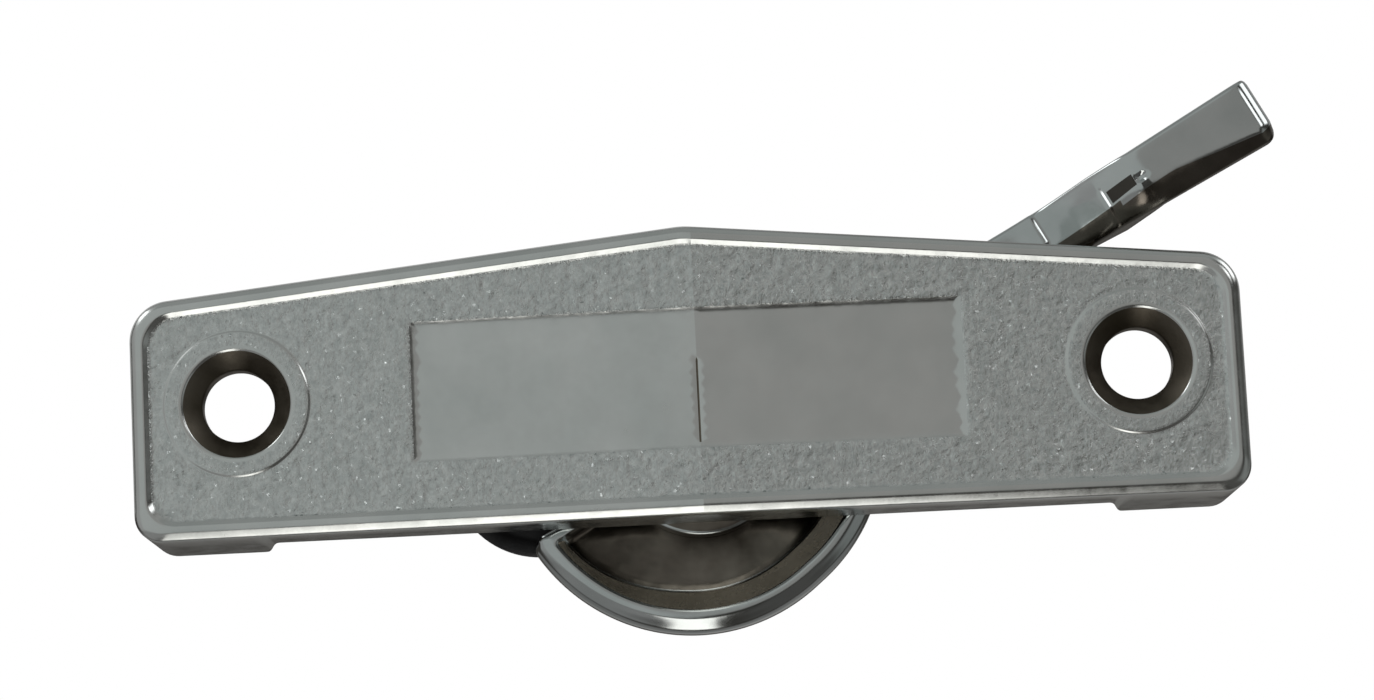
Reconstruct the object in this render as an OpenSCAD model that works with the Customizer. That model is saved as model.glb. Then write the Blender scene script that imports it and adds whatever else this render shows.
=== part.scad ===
// Crescent cam sash lock with a long, peaked face plate, drawn in its locked position.
// The origin is where the pivot axis meets the face of the sash. +X runs along the plate,
// +Z is up and the plate looks towards -Y. Every module draws in a local frame, with x along
// the plate, y up and z out from the sash, and on_sash() turns that frame upright.

/* [Plate] */
// Length of the face plate
plate_l = 70.6; // [69.5:0.1:73]
// Height of the plate at its ends
end_h = 15.15; // [14.9:0.05:15.6]
// Height of the plate at its peak
peak_h = 18.4; // [18.1:0.1:19.6]
// Height of the pivot above the bottom edge of the plate
pivot_up = 4.87; // [4.8:0.01:5]
// Distance of the plate's middle from the pivot, along the plate
plate_off = -0.6; // [-1:0.1:0]
// Stand-off of the face from the sash at the ends of the plate
end_z = 9.9; // [9.6:0.1:10.8]
// Extra stand-off of the face along the centre ridge
ridge_z = 1.4; // [0.8:0.1:2.2]
// Radius of the upper corners
top_corner_r = 2.6; // [1.6:0.1:3]
// Radius of the lower corners
low_corner_r = 1.7; // [1:0.1:2.4]
// Radius of the rounded peak
peak_r = 5; // [1:0.5:7]

/* [Face] */
// Width of the raised rim
rim_w = 1.5; // [1.2:0.1:2]
// Height of the rim above the field
rim_h = 0.3; // [0.1:0.05:0.5]
// Radius of the field's corners
field_corner_r = 1.8; // [0.8:0.1:2.4]
// Length of the label panel
panel_l = 34.8; // [28:0.2:38]
// Height of the label panel
panel_h = 8.8; // [6:0.1:9]
// Height of the panel's lower edge above the bottom edge of the plate
panel_up = 4.2; // [3.4:0.1:4.6]
// Depth of the label panel below the field
panel_d = 0.2; // [0.1:0.05:0.4]

/* [Screw holes] */
// Distance between the screw holes
hole_span = 57.15; // [56.4:0.05:57.4]
// Diameter of the screw holes
hole_d = 4.6; // [4:0.1:5]
// Diameter of the countersinks at the face
sink_d = 7; // [6.2:0.1:7.6]
// Depth of the countersinks
sink_h = 1.4; // [1:0.1:2]
// Diameter of the raised rings round the holes
boss_d = 9.3; // [8.6:0.1:9.8]
// Thickness of the web that each screw head bears on
web_t = 3; // [2.4:0.1:4]
// Wall of the hollow column behind each screw hole
column_t = 1.1; // [0.9:0.1:1.4]
// Height of the screw holes above the bottom edge of the plate
hole_up = 8.5; // [8.2:0.1:9]

/* [Housing walls] */
// Thickness of the skirt wall
wall_t = 1.5; // [1.2:0.1:1.8]
// Thickness of the face
face_t = 1.6; // [1.3:0.1:2]
// Gap between the sash and the skirt wall
skirt_z = 5.4; // [5.35:0.05:5.8]
// Half of the distance between the feet at the sash
feet_half = 27.9; // [27.4:0.1:28.4]
// Slant of each foot's inner edge
foot_slant = 1.3; // [0.5:0.1:1.6]

/* [Crescent] */
// Outer radius at the leading tip
tip_r = 12.55; // [12.2:0.05:13]
// Outer radius where the crescent is closest to the pivot
low_r = 11.5; // [11.2:0.1:12]
// Angle at which the crescent is closest to the pivot
low_a = -50; // [-70:1:-40]
// Angle of the leading tip in the locked position
tip_a = -154; // [-158:0.5:-150]
// Angle of the trailing end in the locked position
tail_a = 4; // [-10:1:6]
// Width of the lip at the leading tip
tip_lip_w = 0.8; // [0.6:0.1:1]
// Width of the lip along the rest of the crescent
lip_w = 1.6; // [1.2:0.1:1.9]
// Thickness of the floor
floor_t = 1; // [0.8:0.1:1]
// Height of the lip's top above the sash
lip_z = 5; // [4.6:0.05:5]

/* [Lever] */
// Angle of the lever in the locked position
lever_a = 28.3; // [28:0.1:30]
// Distance from the pivot to the end of the lever
lever_r = 42.2; // [39:0.1:44]
// Width of the lever at its root
root_w = 4; // [3.6:0.1:4.1]
// Width of the lever at its end
end_w = 4.3; // [4.1:0.1:4.8]
// Thickness of the lever
lever_t = 1.8; // [1.5:0.1:1.8]
// Distance from the pivot to the first bend
bend_r = 26; // [25:0.1:26.6]
// Distance from the pivot to the foot of the ramp
ramp_r = 30.2; // [29.8:0.1:31]
// Distance from the pivot to the top of the ramp
paddle_r = 32.8; // [32.4:0.1:34]
// Stand-off of the paddle's top from the sash
paddle_z = 8.6; // [7.6:0.1:10]

/* [Pivot] */
// Diameter of the pivot stud
stud_d = 4; // [3.6:0.1:4.2]
// Radial running gap between the stud and the bush
run_gap = 0.05; // [0.02:0.01:0.1]
// Wall of the pivot bush
bush_t = 0.75; // [0.6:0.05:0.85]
// Diameter of the hub
hub_d = 11.2; // [10.8:0.1:11.4]
// Thickness of the back plate
strap_t = 1.2; // [1:0.1:1.25]

/* [Support pad] */
// Diameter of the support pad
pad_d = 11.6; // [10.4:0.2:12]
// Place of the support pad along the plate
pad_x = -10.5; // [-11.5:0.1:-10.3]
// Height of the support pad's centre from the pivot
pad_y = -0.4; // [-1:0.1:0]

/* [Hidden] */

$fn = 64;
eps = 0.01;
far = 100;
// How far a cutting shape reaches past the face that it cuts
over = 1;

// Extra radius of the hollow columns over the screw holes
column_gap = 1.4;

// Edges of the plate
half_l = plate_l / 2;
bottom_y = -pivot_up;
slope_a = atan((peak_h - end_h) / half_l);
hole_x = hole_span / 2;
hole_y = bottom_y + hole_up;

// Heights of the parts stacked on the pivot, from the sash outwards
cam_z = 2.1;
floor_z = cam_z + floor_t;
hub_z = floor_z + lever_t;
end_play = 0.05;
spring_h = 0.4;
spring_t = 0.25;
thrust_z = strap_t + spring_h;
thrust_t = cam_z - end_play - thrust_z;
hub_washer_t = 0.4;
boss_z = skirt_z;
stud_in = 3.2;
stud_end_z = boss_z + stud_in;

// Radii on the pivot
stud_r = stud_d / 2;
stud_head_r = stud_r + 0.7;
stud_head_h = 0.6;
bush_in_r = stud_r + run_gap;
bush_out_r = bush_in_r + bush_t;
hub_r = hub_d / 2;
hub_washer_r = 4.8;
low_washer_r = 4.4;
hub_gap = 0.1;
washer_gap = 0.1;
pivot_boss_r = 4.4;

// Double-D drive between the cam and the lever
drive_r = 4.4;
drive_flat = 7.2;
drive_gap = 0.03;

// Posts inside the housing, and the rivets in them
post_x = 19.5;
post_y = 0.4;
post_r = 2.5;
rivet_r = 1.25;
rivet_head_r = 2.1;
rivet_head_h = 0.7;
rivet_in = 3;

// Corners of the hollow behind the face
hollow_top_r = 1;
hollow_low_r = 0.8;

// Back plate, and how far its ear stays inside the edge of the support pad
strap_l = 45.4;
strap_low = -3.6;
strap_h = 10;
strap_corner_r = 1.5;
ear_in = 0.5;

// Lugs that stop the lever
stop_gap = 0.06;
stop_in = 14;
stop_out = 17;
stop_w = 1.6;

// Rise of the lever from its first bend to the foot of the ramp
arm_rise = 0.35;
// Step from each face of the lever's hub down to its arm
arm_in = 0.05;
// Radius of the lever's end corners
lever_corner_r = 0.8;
// How sharply the crescent's radius grows away from its closest point
rim_power = 1.2;
// Number of straight steps along the crescent
crescent_steps = 56;
// Angle that the lip takes up where it turns in at the tip
end_wall_a = 4;
// Angle by which the dish is cut past the trailing end
dish_past = 5;
// Part of the crescent's turn over which its lip reaches full width
lip_grow_a = 50;
// Gap between the support pad and the cam
pad_gap = 0.1;
pad_edge = 0.2;

function roof_z(x) = end_z + ridge_z * (1 - 2 * abs(x) / plate_l);
function top_y(x, d) = bottom_y + peak_h - abs(x) * tan(slope_a) - d / cos(slope_a);
function polar(r, a) = [r * cos(a), r * sin(a)];
function rim_r(a) =
    low_r + (tip_r - low_r) * pow(abs(a - low_a) / abs(tip_a - low_a), rim_power);
function lip_at(a) =
    tip_lip_w + (lip_w - tip_lip_w) * min(1, (a - tip_a) / lip_grow_a);

// Stands the local frame on the face of the sash
module on_sash() {
    rotate([90, 0, 0]) children();
}

// Ring or disc round the local z axis
module ring(r_out, r_in, z, h) {
    translate([0, 0, z]) difference() {
        cylinder(r = r_out, h = h);
        translate([0, 0, -over]) cylinder(r = r_in, h = h + 2 * over);
    }
}

// Pin that stands on the sash plane, with a countersunk head flush with that plane
module sunk_pin(r, head_r, head_h, h) {
    cylinder(r = r, h = h);
    cylinder(r1 = head_r, r2 = r, h = head_h);
}

// Rivet of the kind that holds the back plate
module sunk_rivet(h) {
    sunk_pin(rivet_r, rivet_head_r, rivet_head_h, h);
}

// Peaked outline of the plate, drawn in by d from its edge
module house(d, upper_r, lower_r) {
    upper_x = half_l - d - upper_r;
    lower_x = half_l - d - lower_r;
    translate([plate_off, 0]) hull() {
        for (side = [-1, 1]) {
            translate([side * upper_x, top_y(upper_x, d + upper_r)]) circle(r = upper_r);
            translate([side * lower_x, bottom_y + d + lower_r]) circle(r = lower_r);
        }
        translate([0, top_y(0, d + peak_r)]) circle(r = peak_r);
    }
}

// Outline of the field inside the rim
module field_outline() {
    house(rim_w, field_corner_r, field_corner_r);
}

// Extrudes an outline given in x and z along the whole height of the plate
module across() {
    rotate([90, 0, 0]) linear_extrude(height = far, center = true) children();
}

// Everything behind the ridged surface that lies d behind the face
module under_roof(d) {
    wide = half_l + 2 * over;
    across() polygon([
        [-wide, -2 * over], [wide, -2 * over], [wide, roof_z(wide) - d], [0, roof_z(0) - d],
        [-wide, roof_z(wide) - d]
    ]);
}

// Cuts an outline into the face, to a depth of d
module face_cut(d) {
    difference() {
        linear_extrude(height = 2 * end_z) children();
        under_roof(d);
    }
}

// Places a child at each screw hole
module at_holes() {
    for (side = [-1, 1]) translate([plate_off + side * hole_x, hole_y, 0]) children();
}

// Places a child at each rivet post
module at_posts() {
    for (side = [-1, 1]) translate([side * post_x, post_y, 0]) children();
}

// Opening between the feet, behind the skirt wall
module foot_window() {
    upper = feet_half - foot_slant;
    translate([plate_off, 0, 0]) across() polygon([
        [-feet_half, -over], [feet_half, -over], [feet_half, 0], [upper, skirt_z],
        [-upper, skirt_z], [-feet_half, 0]
    ]);
}

// Hollow behind the face, inside the skirt wall and the feet
module hollow() {
    intersection() {
        translate([0, 0, -over]) linear_extrude(height = 2 * end_z)
            house(wall_t, hollow_top_r, hollow_low_r);
        under_roof(face_t);
    }
}

// Column behind each screw hole, from the sash up to the face
module screw_columns() {
    column_r = hole_d / 2 + column_gap + column_t;
    at_holes() cylinder(r = column_r, h = roof_z(hole_x + column_r) - face_t / 2);
}

// Lugs under the face that the lever meets at each end of its turn
module lever_stops() {
    lug_z = floor_z + pad_gap;
    for (side = [0, 1])
        mirror([side, 0, 0])
        rotate(lever_a)
        translate([stop_in, -root_w / 2 - stop_gap - stop_w, lug_z])
        cube([stop_out - stop_in, stop_w, roof_z(stop_out) - face_t / 2 - lug_z]);
}

// Plate with its field, panel and hollow, before the posts are added
module plate_shell() {
    difference() {
        intersection() {
            linear_extrude(height = 2 * end_z) house(0, top_corner_r, low_corner_r);
            under_roof(0);
        }
        face_cut(rim_h) difference() {
            field_outline();
            at_holes() circle(d = boss_d);
        }
        face_cut(rim_h + panel_d)
            translate([plate_off - panel_l / 2, bottom_y + panel_up])
            square([panel_l, panel_h]);
        foot_window();
        hollow();
    }
}

// Cast face plate with its rim, ridge, panel, screw bosses, skirt and feet
module housing() {
    post_h = roof_z(post_x) - face_t / 2 - strap_t;
    pivot_boss_h = roof_z(0) - face_t / 2 - boss_z;
    color("silver") on_sash() difference() {
        union() {
            plate_shell();
            screw_columns();
            at_posts() translate([0, 0, strap_t]) cylinder(r = post_r, h = post_h);
            translate([0, 0, boss_z]) cylinder(r = pivot_boss_r, h = pivot_boss_h);
            lever_stops();
        }
        at_holes() {
            translate([0, 0, -over]) cylinder(d = hole_d, h = 2 * end_z);
            translate([0, 0, -over])
                cylinder(r = hole_d / 2 + column_gap, h = roof_z(hole_x) - web_t + over);
            translate([0, 0, roof_z(hole_x) - sink_h])
                cylinder(d1 = hole_d, d2 = sink_d, h = sink_h);
            translate([0, 0, roof_z(hole_x) - eps]) cylinder(d = sink_d, h = over);
        }
        at_posts() translate([0, 0, strap_t - over]) cylinder(r = rivet_r, h = rivet_in + over);
        translate([0, 0, boss_z - over]) cylinder(r = stud_r, h = stud_in + over);
    }
}

// Steel strap between the feet, with an ear behind the support pad
module back_plate() {
    color("darkgray") on_sash() difference() {
        linear_extrude(height = strap_t) {
            offset(r = strap_corner_r) offset(delta = -strap_corner_r)
                translate([-strap_l / 2, strap_low]) square([strap_l, strap_h]);
            translate([pad_x, pad_y]) circle(d = pad_d - 2 * ear_in);
        }
        sunk_pin(stud_r, stud_head_r, stud_head_h, far);
        at_posts() sunk_rivet(far);
        translate([pad_x, pad_y, 0]) sunk_rivet(far);
    }
}

// Countersunk rivets that hold the back plate to the posts
module back_plate_rivets() {
    color("gainsboro") on_sash() at_posts() sunk_rivet(strap_t + rivet_in);
}

// Axle that the cam and the lever turn on, with a flush head in the back plate
module pivot_stud() {
    color("gainsboro") on_sash() sunk_pin(stud_r, stud_head_r, stud_head_h, stud_end_z);
}

// Sleeve pressed into the cam's bore
module pivot_bush() {
    color("ivory") on_sash() ring(bush_out_r, bush_in_r, cam_z, hub_z - cam_z);
}

// Disc spring on the back plate that presses the cam and the lever outwards
module spring_washer() {
    inner_r = stud_r + washer_gap;
    top_z = strap_t + spring_h;
    color("dimgray") on_sash() rotate_extrude() polygon([
        [low_washer_r, strap_t], [low_washer_r, strap_t + spring_t], [inner_r, top_z],
        [inner_r, top_z - spring_t]
    ]);
}

// Washer between the disc spring and the cam
module thrust_washer() {
    color("ivory") on_sash() ring(low_washer_r, stud_r + washer_gap, thrust_z, thrust_t);
}

// Sector inside the crescent's rim, by a share of the lip's width, between two angles
module crescent_sector(share, from_a, to_a) {
    polygon(concat(
        [[0, 0]],
        [for (i = [0 : crescent_steps])
            let (a = from_a + (to_a - from_a) * i / crescent_steps)
            polar(rim_r(a) - share * lip_at(a), a)]
    ));
}

// Crescent with a dished floor, a lip that turns in at the tip, and a drive for the lever
module crescent_cam() {
    color("silver") on_sash() difference() {
        union() {
            difference() {
                translate([0, 0, cam_z]) linear_extrude(height = lip_z - cam_z)
                    crescent_sector(0, tip_a, tail_a);
                translate([0, 0, floor_z]) linear_extrude(height = lip_z)
                    crescent_sector(1, tip_a + end_wall_a, tail_a + dish_past);
                translate([0, 0, floor_z]) cylinder(r = hub_r + hub_gap, h = lip_z);
            }
            translate([0, 0, cam_z]) cylinder(r = hub_r, h = floor_t);
            intersection() {
                translate([0, 0, floor_z - eps]) cylinder(r = drive_r, h = lever_t + eps);
                translate([-drive_flat / 2, -far / 2, 0]) cube([drive_flat, far, far]);
            }
        }
        cylinder(r = bush_out_r, h = far);
    }
}

// Plan of the lever's arm, along its own axis
module arm_plan() {
    inner = lever_r - lever_corner_r;
    hull() {
        translate([0, -root_w / 2]) square([bend_r, root_w]);
        for (side = [-1, 1])
            translate([inner, side * (end_w / 2 - lever_corner_r)])
                circle(r = lever_corner_r);
    }
}

// Side view of the lever's arm: flat root, slight rise, ramp and raised paddle
module arm_side() {
    low_z = floor_z + arm_in;
    top_z = hub_z - arm_in;
    ramp_z = top_z + arm_rise;
    polygon([
        [0, low_z], [bend_r, low_z], [ramp_r + lever_t / 2, ramp_z - lever_t],
        [paddle_r + lever_t / 2, paddle_z - lever_t], [lever_r, paddle_z - lever_t],
        [lever_r, paddle_z], [paddle_r, paddle_z], [ramp_r, ramp_z], [bend_r, top_z],
        [0, top_z]
    ]);
}

// Cranked lever on a round hub that drops over the cam's drive
module lever() {
    color("silver") on_sash() difference() {
        union() {
            translate([0, 0, floor_z]) cylinder(r = hub_r, h = lever_t);
            rotate(lever_a) intersection() {
                linear_extrude(height = 2 * end_z) arm_plan();
                across() arm_side();
            }
        }
        intersection() {
            cylinder(r = drive_r + drive_gap, h = far);
            translate([-drive_flat / 2 - drive_gap, -far / 2, 0])
                cube([drive_flat + 2 * drive_gap, far, far]);
        }
    }
}

// Flat washer between the lever's hub and the housing's pivot boss
module hub_washer() {
    color("gainsboro") on_sash()
        ring(hub_washer_r, stud_r + washer_gap, boss_z - end_play - hub_washer_t, hub_washer_t);
}

// Round pad that the crescent slides over
module support_pad() {
    pad_r = pad_d / 2;
    pad_top = cam_z - pad_gap;
    color("black") on_sash() translate([pad_x, pad_y, 0]) difference() {
        rotate_extrude() polygon([
            [0, strap_t], [pad_r, strap_t], [pad_r, pad_top - pad_edge],
            [pad_r - pad_edge, pad_top], [0, pad_top]
        ]);
        cylinder(r = rivet_r, h = far);
        translate([0, 0, pad_top - rivet_head_h / 2])
            cylinder(r1 = rivet_r, r2 = rivet_head_r, h = rivet_head_h / 2 + eps);
    }
}

// Rivet that holds the support pad, set just below the pad's surface
module pad_rivet() {
    pad_top = cam_z - pad_gap;
    color("gainsboro") on_sash() translate([pad_x, pad_y, 0]) {
        sunk_rivet(pad_top);
        translate([0, 0, pad_top - rivet_head_h / 2])
            cylinder(r1 = rivet_r, r2 = rivet_head_r, h = rivet_head_h / 2);
    }
}

housing();
back_plate();
back_plate_rivets();
pivot_stud();
spring_washer();
thrust_washer();
pivot_bush();
crescent_cam();
lever();
hub_washer();
support_pad();
pad_rivet();
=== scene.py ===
import math

import bmesh
import bpy
import numpy as np
from mathutils import Matrix, Vector
from mathutils.geometry import delaunay_2d_cdt


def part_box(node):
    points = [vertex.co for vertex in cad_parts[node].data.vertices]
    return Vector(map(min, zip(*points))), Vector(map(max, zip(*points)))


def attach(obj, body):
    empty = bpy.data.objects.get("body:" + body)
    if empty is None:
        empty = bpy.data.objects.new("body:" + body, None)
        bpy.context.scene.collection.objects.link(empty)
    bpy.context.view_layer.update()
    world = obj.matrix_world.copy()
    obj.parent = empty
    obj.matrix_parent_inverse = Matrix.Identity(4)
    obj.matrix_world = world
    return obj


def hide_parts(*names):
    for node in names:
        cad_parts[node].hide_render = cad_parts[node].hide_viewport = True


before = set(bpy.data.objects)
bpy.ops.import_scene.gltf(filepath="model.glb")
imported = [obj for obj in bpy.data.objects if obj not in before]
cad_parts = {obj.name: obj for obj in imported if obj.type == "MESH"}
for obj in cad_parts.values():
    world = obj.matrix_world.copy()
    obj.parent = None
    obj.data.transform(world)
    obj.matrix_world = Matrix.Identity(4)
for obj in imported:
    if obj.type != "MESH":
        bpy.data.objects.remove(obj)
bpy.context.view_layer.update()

# The looks of a crescent sash lock. Sizes are in millimetres in the lock's own drawing frame:
# x along the plate, y up and z out from the sash. place() turns them into the row's frame.
MM = 0.001


def node_box(name):
    """Lowest and highest corner of a CAD node in the drawing frame, in millimetres."""
    low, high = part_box(name)
    lo = (low[0] / MM, low[2] / MM, -high[1] / MM)
    hi = (high[0] / MM, high[2] / MM, -low[1] / MM)
    return lo, hi


def place(points):
    """Drawing frame in millimetres to the row's frame in metres."""
    p = np.asarray(points, float)
    return np.stack([p[:, 0], -p[:, 2], p[:, 1]], 1) * MM


# ---------------------------------------------------------------- sizes from the frame
plate_lo, plate_hi = node_box("housing")
PLATE_MID = (plate_lo[0] + plate_hi[0]) / 2
HALF_L = (plate_hi[0] - plate_lo[0]) / 2
BOTTOM_Y = plate_lo[1]
PEAK_H = plate_hi[1] - plate_lo[1]
PEAK_Z = plate_hi[2]
pad_lo, pad_hi = node_box("support_pad")
cam_lo, cam_hi = node_box("crescent_cam")
lever_lo, lever_hi = node_box("lever")

# ---------------------------------------------------------------- details of the plate
END_H = 15.15
RIDGE_RISE = 1.4
HOLE_SPAN = 57.15
HOLE_Y = BOTTOM_Y + 8.5
UPPER_R = 2.6
LOWER_R = 1.7
PEAK_R = 5.0
FIELD_INSET = 1.6
FIELD_DROP = 0.33
WALL_T = 1.5
FACE_T = 1.6
SKIRT_Z = 5.4
FOOT_X = 27.9
FOOT_SLANT = 1.3
PANEL_L = 34.8
PANEL_H = 8.8
PANEL_Y = BOTTOM_Y + 4.24
PANEL_DROP = 0.12
BOSS_R = 4.65
SLOPE = math.atan((PEAK_H - END_H) / HALF_L)
GRAIN_STEP = 0.15


def smooth(t):
    t = np.clip(t, 0.0, 1.0)
    return t * t * (3 - 2 * t)


def roof(x):
    """Height of the ridged face above the sash, without its relief."""
    return PEAK_Z - RIDGE_RISE * np.abs(x) / HALF_L


def back_edge(x):
    """Height of the skirt's rear edge: down to the sash at the feet, and clear of it between."""
    t = (np.abs(x - PLATE_MID) - (FOOT_X - FOOT_SLANT)) / FOOT_SLANT
    return SKIRT_Z * (1 - smooth(t))


def gradient_noise(x, y, seed):
    """Smooth repeatable noise between about -1 and 1, one cell per unit."""
    xi, yi = np.floor(x).astype(int), np.floor(y).astype(int)
    xf, yf = x - xi, y - yi

    def corner(dx, dy):
        h = (xi + dx) * 374761393 + (yi + dy) * 668265263 + seed * 974634777
        h = (h ^ (h >> 13)) * 1274126177
        a = ((h ^ (h >> 16)) & 0xFFFF) / 65536.0 * 2 * math.pi
        return np.cos(a) * (xf - dx) + np.sin(a) * (yf - dy)

    u, v = smooth(xf), smooth(yf)
    low = corner(0, 0) * (1 - u) + corner(1, 0) * u
    high = corner(0, 1) * (1 - u) + corner(1, 1) * u
    return (low * (1 - v) + high * v) * 1.5


def cast_texture(x, y):
    """Relief of the cast field: fine wrinkles, a little longer along x, over a soft orange peel."""
    wrinkle = 1 - np.abs(gradient_noise(x / 0.8, y / 0.55, 1)) * 2
    fine = 1 - np.abs(gradient_noise(x / 0.42, y / 0.3, 2)) * 2
    peel = gradient_noise(x / 1.3, y / 1.0, 3)
    patch = 0.75 + 0.35 * gradient_noise(x / 6.0, y / 4.0, 4)
    return (0.036 * wrinkle + 0.032 * fine + 0.02 * peel) * patch


# Kind of triangulation that keeps only what lies inside the given edges
INSIDE_EDGES = 1
# Height in millimetres below which a triangle is a sliver along an outline, and is left out
SLIVER = 0.003


def mark_ridge(mesh):
    """Makes the edges along the ridge of the face crisp."""
    sharp = mesh.attributes.get("sharp_edge") or mesh.attributes.new("sharp_edge", "BOOLEAN", "EDGE")
    for edge in mesh.edges:
        if all(abs(mesh.vertices[v].co.x) < 1e-7 for v in edge.vertices):
            sharp.data[edge.index].value = True


class Shell:
    """Collects the points and faces of one piece, in the drawing frame."""

    def __init__(self):
        self.points = []
        self.faces = []
        self.slots = []

    def loop(self, xy, z):
        """Adds a row of points and returns their numbers. z is one height or one per point."""
        start = len(self.points)
        heights = np.broadcast_to(z, (len(xy),))
        self.points.extend((p[0], p[1], h) for p, h in zip(xy, heights))
        return list(range(start, len(self.points)))

    def skin(self, a, b, slots):
        """Joins two closed rows with four-sided faces, one finish for each side."""
        for i, slot in enumerate(slots):
            j = (i + 1) % len(a)
            self.faces.append((a[i], a[j], b[j], b[i]))
            self.slots.append(slot)

    def bridge(self, a, b, slot=0):
        """Joins two closed rows with faces of one finish."""
        self.skin(a, b, [slot] * len(a))

    def turn(self, cx, cy, profile, n):
        """Ring turned round an axis from a closed profile of radius, height and finish."""
        rows = [self.loop(circle(cx, cy, r, n), z) for r, z, slot in profile]
        for i, (r, z, slot) in enumerate(profile):
            self.bridge(rows[i], rows[(i + 1) % len(rows)], slot)

    def cap(self, ids, slot=0):
        self.faces.append(tuple(ids))
        self.slots.append(slot)

    def fill(self, loops, inner, lines, keep, height, slot=0, marked=None, mark=0):
        """Fills between closed loops through extra points and lines; marked areas get mark."""
        xy = [self.points[i][:2] for ids in loops for i in ids]
        owner = [i for ids in loops for i in ids]
        edges, base = [], 0
        for ids in loops:
            n = len(ids)
            edges += [(base + i, base + (i + 1) % n) for i in range(n)]
            base += n
        for line in lines:
            edges += [(base + i, base + i + 1) for i in range(len(line) - 1)]
            xy += [tuple(p) for p in line]
            base += len(line)
        xy += [tuple(p) for p in inner]
        owner += [None] * (len(xy) - len(owner))
        out = delaunay_2d_cdt([Vector(p) for p in xy], edges, [], INSIDE_EDGES, 1e-5, True)
        verts, tris, sources = out[0], out[2], out[3]
        flat = np.array([v[:] for v in verts])
        heights = height(flat[:, 0], flat[:, 1])
        numbers = []
        for k, source in enumerate(sources):
            known = [owner[s] for s in source if owner[s] is not None]
            if known:
                numbers.append(known[0])
            else:
                self.points.append((flat[k, 0], flat[k, 1], heights[k]))
                numbers.append(len(self.points) - 1)
        a, b, c = (flat[[t[k] for t in tris]] for k in range(3))
        area = np.abs((b - a)[:, 0] * (c - a)[:, 1] - (b - a)[:, 1] * (c - a)[:, 0])
        longest = np.max([np.linalg.norm(q - p, axis=1) for p, q in ((a, b), (b, c), (c, a))], axis=0)
        middle = (a + b + c) / 3
        wanted = keep(middle[:, 0], middle[:, 1]) & (area > SLIVER * longest)
        chosen = marked(middle[:, 0], middle[:, 1]) if marked else np.zeros(len(tris), bool)
        for t, ok, other in zip(tris, wanted, chosen):
            if ok:
                self.faces.append(tuple(numbers[i] for i in t))
                self.slots.append(mark if other else slot)

    def build(self, name, materials, sharp=35, ridge=False):
        mesh = bpy.data.meshes.new(name)
        mesh.from_pydata(place(self.points).tolist(), [], self.faces)
        for m in materials:
            mesh.materials.append(m)
        mesh.polygons.foreach_set("material_index", self.slots)
        bm = bmesh.new()
        bm.from_mesh(mesh)
        loose = [v for v in bm.verts if not v.link_faces]
        bmesh.ops.delete(bm, geom=loose, context="VERTS")
        bmesh.ops.recalc_face_normals(bm, faces=bm.faces)
        bm.to_mesh(mesh)
        bm.free()
        mesh.polygons.foreach_set("use_smooth", [True] * len(mesh.polygons))
        mesh.set_sharp_from_angle(angle=math.radians(sharp))
        if ridge:
            mark_ridge(mesh)
        obj = bpy.data.objects.new(name, mesh)
        bpy.context.scene.collection.objects.link(obj)
        return obj


# ---------------------------------------------------------------- materials
def new_material(name):
    mat = bpy.data.materials.new(name)
    mat.use_nodes = True
    tree = mat.node_tree
    tree.nodes.clear()
    out = tree.nodes.new("ShaderNodeOutputMaterial")
    bsdf = tree.nodes.new("ShaderNodeBsdfPrincipled")
    tree.links.new(bsdf.outputs[0], out.inputs[0])
    return mat, tree, bsdf


def millimetres(tree):
    """Coordinates in millimetres, in the piece's own frame."""
    coord = tree.nodes.new("ShaderNodeTexCoord")
    scale = tree.nodes.new("ShaderNodeVectorMath")
    scale.operation = "SCALE"
    scale.inputs["Scale"].default_value = 1 / MM
    tree.links.new(coord.outputs["Object"], scale.inputs[0])
    return scale.outputs[0]


def noise(tree, coord, size, detail=2.0, roughness=0.5):
    """Noise whose features are about size millimetres across."""
    node = tree.nodes.new("ShaderNodeTexNoise")
    node.inputs["Scale"].default_value = 1 / size
    node.inputs["Detail"].default_value = detail
    node.inputs["Roughness"].default_value = roughness
    tree.links.new(coord, node.inputs["Vector"])
    return node.outputs["Fac"]


def remap(tree, value, from_low, from_high, to_low, to_high):
    node = tree.nodes.new("ShaderNodeMapRange")
    for key, v in (("From Min", from_low), ("From Max", from_high),
                   ("To Min", to_low), ("To Max", to_high)):
        node.inputs[key].default_value = v
    tree.links.new(value, node.inputs["Value"])
    return node.outputs["Result"]


def mix_colour(tree, factor, a, b):
    node = tree.nodes.new("ShaderNodeMix")
    node.data_type = "RGBA"
    node.inputs[6].default_value = (*a, 1)
    node.inputs[7].default_value = (*b, 1)
    tree.links.new(factor, node.inputs[0])
    return node.outputs[2]


def bump(tree, height, distance, strength, after=None):
    node = tree.nodes.new("ShaderNodeBump")
    node.inputs["Strength"].default_value = strength
    node.inputs["Distance"].default_value = distance * MM
    tree.links.new(height, node.inputs["Height"])
    if after is not None:
        tree.links.new(after, node.inputs["Normal"])
    return node.outputs["Normal"]


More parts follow.
